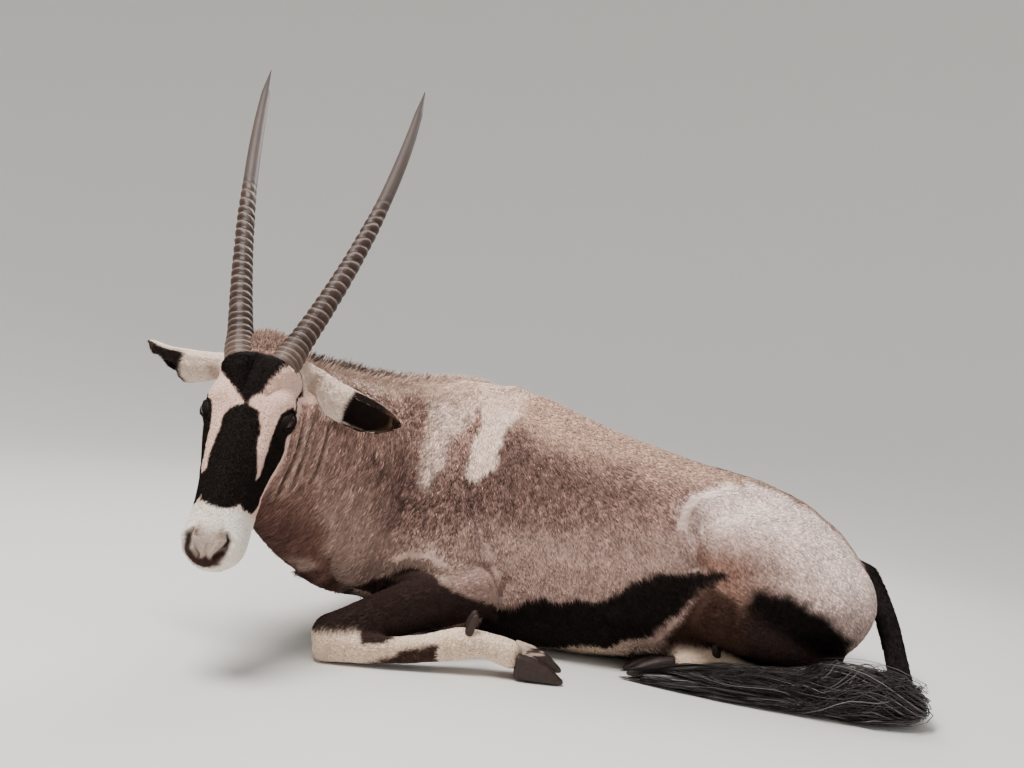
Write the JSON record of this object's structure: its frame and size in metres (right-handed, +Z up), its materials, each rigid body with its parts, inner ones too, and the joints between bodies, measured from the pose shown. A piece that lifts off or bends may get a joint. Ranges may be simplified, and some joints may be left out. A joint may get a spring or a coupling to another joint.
{
  "type": "gemsbok",
  "caption": "Life-size gemsbok lying on its chest with folded legs, head turned to its left, long ringed horns and a tufted tail laid forward.",
  "frame": {"origin": "the point of the breastbone's flat that rests on the floor, in the middle plane of the trunk", "axes": "+X along the trunk towards the tail, -Y to the animal's left, +Z up"},
  "size_m": [1.6491, 0.9713, 1.214],
  "materials": {
    "coat": "short hair in grey-fawn, white, tan and black fields",
    "tail_hair": "long glossy black hair",
    "horn": "ringed horn, matt below and smoother towards the tips",
    "hoof": "worn dark horn",
    "eye": "wet dark brown"
  },
  "bodies": {
    "root": {"head": "coat", "neck": "coat", "chest": "coat", "barrel": "coat", "rump": "coat", "foreleg_left_shoulder": "coat", "foreleg_left_forearm": "coat", "foreleg_left_cannon": "coat", "foreleg_left_pastern": "coat", "foreleg_left_hoof_outer": "hoof", "foreleg_left_hoof_inner": "hoof", "foreleg_left_dewclaw_outer": "hoof", "foreleg_left_dewclaw_inner": "hoof", "hindleg_left_thigh": "coat", "hindleg_left_gaskin": "coat", "hindleg_left_cannon": "coat", "hindleg_left_pastern": "coat", "hindleg_left_hoof_outer": "hoof", "hindleg_left_hoof_inner": "hoof", "hindleg_left_dewclaw_outer": "hoof", "hindleg_left_dewclaw_inner": "hoof", "foreleg_right_shoulder": "coat", "foreleg_right_forearm": "coat", "foreleg_right_cannon": "coat", "foreleg_right_pastern": "coat", "foreleg_right_hoof_outer": "hoof", "foreleg_right_hoof_inner": "hoof", "foreleg_right_dewclaw_outer": "hoof", "foreleg_right_dewclaw_inner": "hoof", "hindleg_right_thigh": "coat", "hindleg_right_gaskin": "coat", "hindleg_right_cannon": "coat", "hindleg_right_pastern": "coat", "hindleg_right_hoof_outer": "hoof", "hindleg_right_hoof_inner": "hoof", "hindleg_right_dewclaw_outer": "hoof", "hindleg_right_dewclaw_inner": "hoof", "horn_left": "horn", "horn_right": "horn", "ear_left": "coat", "ear_right": "coat", "eye_left": "eye", "eye_right": "eye", "tail": "tail_hair", "tail_tuft": "tail_hair"}
  },
  "joints": []
}
